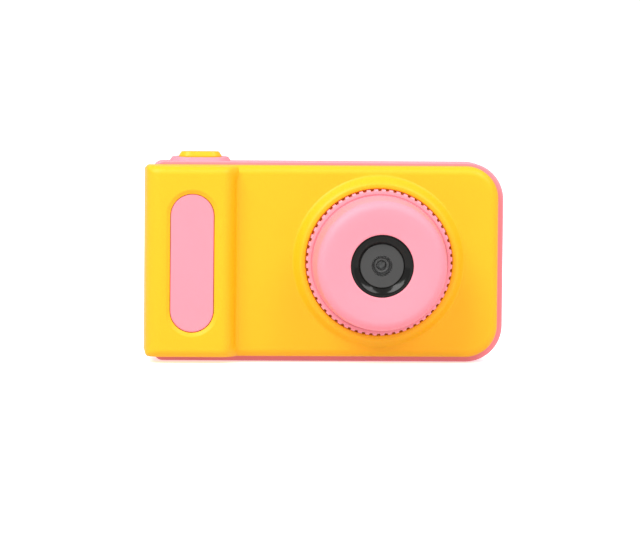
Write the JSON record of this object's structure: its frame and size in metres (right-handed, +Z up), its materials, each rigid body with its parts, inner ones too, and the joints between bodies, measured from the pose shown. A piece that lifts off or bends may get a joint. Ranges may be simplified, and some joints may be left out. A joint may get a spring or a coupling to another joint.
{
  "type": "kids digital camera",
  "caption": "Small flat two-tone digital camera for children with a raised round lens, knurled ring, side grip, top shutter button, rear screen and thumb keys.",
  "frame": {"origin": "under the middle of the whole object, on the surface that it stands on", "axes": "+Z up, -Y out of the lens, +X to the right when the lens faces the viewer"},
  "size_m": [0.083, 0.0348, 0.0482],
  "materials": {
    "front_plastic": "moulded ABS, satin gloss",
    "rear_plastic": "moulded ABS, satin gloss",
    "button_plastic": "moulded ABS, satin gloss",
    "power_plastic": "moulded ABS, satin gloss",
    "black_plastic": "glossy black ABS",
    "dull_plastic": "matt black nylon",
    "dark_window": "smoked acrylic",
    "lens": "coated lens",
    "filter_glass": "coated infrared filter",
    "board": "solder mask on glass fibre",
    "chip": "moulded epoxy",
    "plated": "tinned steel",
    "screw_steel": "zinc-plated steel",
    "passives": "ceramic",
    "sockets": "natural nylon",
    "flex": "polyimide film",
    "lcd": "polarised glass",
    "backlight": "white diffuser in a frame",
    "foam": "closed-cell foam",
    "pouch": "laminate pouch",
    "wire": "PVC insulation",
    "led": "clear epoxy",
    "pipe": "clear polycarbonate",
    "card": "moulded card, no print"
  },
  "bodies": {
    "camera_body": {"front_shell": "front_plastic", "rear_shell": "rear_plastic", "grip_inlay": "rear_plastic", "lens_cap": "rear_plastic", "cap_screws": "screw_steel", "lens_bezel": "black_plastic", "lens_window": "dark_window", "lens_barrel": "dull_plastic", "lens_glass": "lens", "lens_holder": "dull_plastic", "ir_filter": "filter_glass", "image_sensor": "chip", "sensor_board": "board", "sensor_flex": "flex", "shutter_switch": "plated", "key_switches": "plated", "main_board": "board", "processor": "chip", "memory_chip": "chip", "crystal": "plated", "board_parts": "passives", "flex_sockets": "sockets", "board_screws": "screw_steel", "usb_socket": "plated", "card_socket": "plated", "lcd_panel": "lcd", "lcd_backlight": "backlight", "lcd_flex": "flex", "screen_gasket": "foam", "screen_window": "dark_window", "battery": "pouch", "battery_pad": "foam", "battery_leads": "wire", "speaker": "plated", "speaker_gasket": "foam", "speaker_leads": "wire", "microphone": "plated", "status_led": "led", "light_pipe": "pipe", "strap_pin": "screw_steel", "shell_screws": "screw_steel"},
    "ring": {"focus_ring": "rear_plastic"},
    "shutter": {"shutter_button": "button_plastic"},
    "up": {"up_key": "button_plastic"},
    "down": {"down_key": "button_plastic"},
    "left": {"left_key": "button_plastic"},
    "right": {"right_key": "button_plastic"},
    "ok": {"ok_key": "button_plastic"},
    "menu": {"menu_key": "button_plastic"},
    "play": {"play_key": "button_plastic"},
    "power": {"power_key": "power_plastic"},
    "card": {"memory_card": "card"},
    "cover": {"port_cover": "rear_plastic"}
  },
  "joints": [
    {"name": "ring_turn", "type": "hinge", "parent": "camera_body", "child": "ring", "pos_m": [0.0123, -0.0039, 0.0236], "axis": [0, -1, 0], "continuous": true},
    {"name": "shutter_press", "type": "slide", "parent": "camera_body", "child": "shutter", "axis": [0, 0, -1], "range_m": [0, 0.0005], "stiffness_N_per_m": 1800, "springref_m": -0.0004},
    {"name": "up_press", "type": "slide", "parent": "camera_body", "child": "up", "axis": [0, -1, 0], "range_m": [0, 0.0005], "stiffness_N_per_m": 1800, "springref_m": -0.0004},
    {"name": "down_press", "type": "slide", "parent": "camera_body", "child": "down", "axis": [0, -1, 0], "range_m": [0, 0.0005], "stiffness_N_per_m": 1800, "springref_m": -0.0004},
    {"name": "left_press", "type": "slide", "parent": "camera_body", "child": "left", "axis": [0, -1, 0], "range_m": [0, 0.0005], "stiffness_N_per_m": 1800, "springref_m": -0.0004},
    {"name": "right_press", "type": "slide", "parent": "camera_body", "child": "right", "axis": [0, -1, 0], "range_m": [0, 0.0005], "stiffness_N_per_m": 1800, "springref_m": -0.0004},
    {"name": "ok_press", "type": "slide", "parent": "camera_body", "child": "ok", "axis": [0, -1, 0], "range_m": [0, 0.0005], "stiffness_N_per_m": 1800, "springref_m": -0.0004},
    {"name": "menu_press", "type": "slide", "parent": "camera_body", "child": "menu", "axis": [0, -1, 0], "range_m": [0, 0.0005], "stiffness_N_per_m": 1800, "springref_m": -0.0004},
    {"name": "play_press", "type": "slide", "parent": "camera_body", "child": "play", "axis": [0, -1, 0], "range_m": [0, 0.0005], "stiffness_N_per_m": 1800, "springref_m": -0.0004},
    {"name": "power_press", "type": "slide", "parent": "camera_body", "child": "power", "axis": [0, -1, 0], "range_m": [0, 0.0005], "stiffness_N_per_m": 1800, "springref_m": -0.0004},
    {"name": "card_slide", "type": "slide", "parent": "camera_body", "child": "card", "axis": [1, 0, 0], "range_m": [-0.0007, 0.001]},
    {"name": "cover_hinge", "type": "hinge", "parent": "camera_body", "child": "cover", "pos_m": [0.04083, 0.0095, 0.0362], "axis": [0, -1, 0], "range_deg": [0, 100]}
  ]
}
